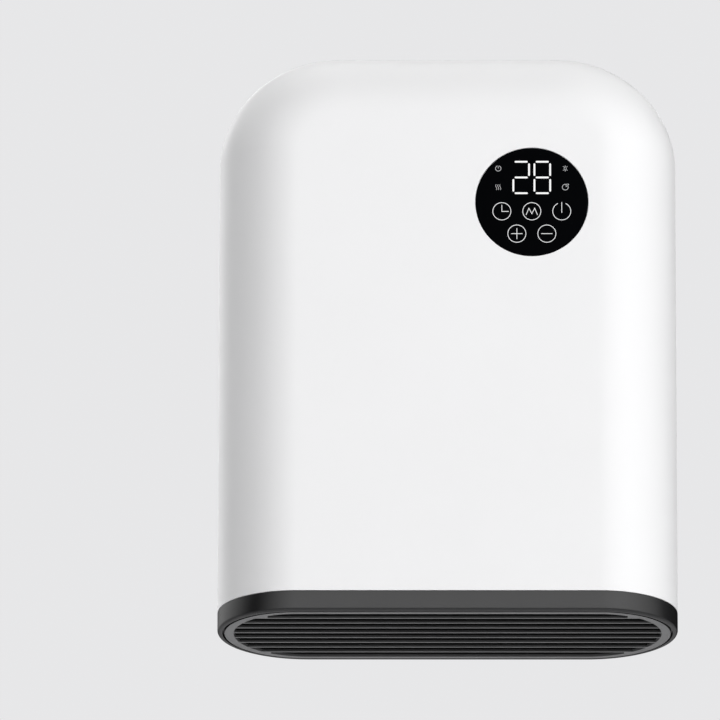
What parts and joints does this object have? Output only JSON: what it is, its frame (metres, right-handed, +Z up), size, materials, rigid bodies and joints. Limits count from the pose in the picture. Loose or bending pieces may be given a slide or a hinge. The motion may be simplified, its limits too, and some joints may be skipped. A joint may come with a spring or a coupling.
{
  "type": "wall fan heater",
  "caption": "Wall-hung bathroom fan heater: white rounded casing, touch display, cross-flow blower, ceramic heating core and slatted outlet in the underside.",
  "frame": {"origin": "on the wall plane, on the flat back, midway between the two hanging keyholes", "axes": "+X right as seen from the front, +Y into the wall, so the front faces -Y, +Z up"},
  "size_m": [0.27, 0.116, 0.3495],
  "materials": {
    "white_shell": "satin moulded white",
    "black_band": "satin black",
    "grey_grille": "fine-textured dark grey",
    "black_lens": "polished black",
    "dark_foam": "matt foam tape",
    "grey_plastic": "moulded grey",
    "black_plastic": "moulded black",
    "circuit_board": "green lacquered board",
    "spring_steel": "bright steel",
    "sheet_steel": "pressed steel",
    "copper_winding": "enamelled copper winding",
    "bronze": "sintered bronze",
    "black_rubber": "matt rubber",
    "aluminium": "plain rolled",
    "heat_plastic": "glass-filled heat-resistant plastic",
    "relay_blue": "moulded blue",
    "terminal_green": "moulded green",
    "wire_white": "silicone-jacketed wire",
    "wire_red": "silicone-jacketed wire"
  },
  "bodies": {
    "casing": {"front_housing": "white_shell", "rear_cover": "white_shell", "base_ring": "black_band", "outlet_grille": "grey_grille", "touch_lens": "black_lens", "lens_adhesive": "dark_foam", "display_tray": "black_plastic", "display_board": "circuit_board", "digit_module": "black_plastic", "touch_spring_timer": "spring_steel", "touch_spring_mode": "spring_steel", "touch_spring_power": "spring_steel", "touch_spring_plus": "spring_steel", "touch_spring_minus": "spring_steel", "fan_scroll": "grey_plastic", "fan_tongue": "grey_plastic", "end_plate_left": "grey_plastic", "end_plate_right": "grey_plastic", "bearing_mount": "black_rubber", "bearing_bush": "bronze", "motor_core": "sheet_steel", "motor_coil": "copper_winding", "motor_bracket_inner": "sheet_steel", "motor_bracket_outer": "sheet_steel", "outlet_duct": "black_plastic", "ptc_frame": "heat_plastic", "ptc_fins_1": "aluminium", "ptc_tube_1": "aluminium", "ptc_fins_2": "aluminium", "ptc_tube_2": "aluminium", "ptc_fins_3": "aluminium", "ptc_tube_3": "aluminium", "ptc_fins_4": "aluminium", "thermal_cutout": "aluminium", "power_board": "circuit_board", "relay_1": "relay_blue", "relay_2": "relay_blue", "capacitor": "black_plastic", "terminal_block": "terminal_green", "cord_gland": "black_rubber", "heater_lead_live": "wire_red", "heater_lead_neutral": "wire_white", "motor_lead": "wire_white", "display_ribbon": "wire_white", "rear_screw_1": "spring_steel", "rear_screw_2": "spring_steel", "rear_screw_3": "spring_steel", "rear_screw_4": "spring_steel", "rear_screw_5": "spring_steel", "rear_screw_6": "spring_steel"},
    "blower": {"blower_wheel": "black_plastic", "wheel_coupling": "black_rubber", "wheel_stub_shaft": "spring_steel", "motor_rotor": "aluminium", "motor_shaft": "spring_steel"}
  },
  "joints": [
    {"name": "blower_spin", "type": "hinge", "parent": "casing", "child": "blower", "pos_m": [0.006, -0.048, -0.1495], "axis": [1, 0, 0], "continuous": true}
  ]
}
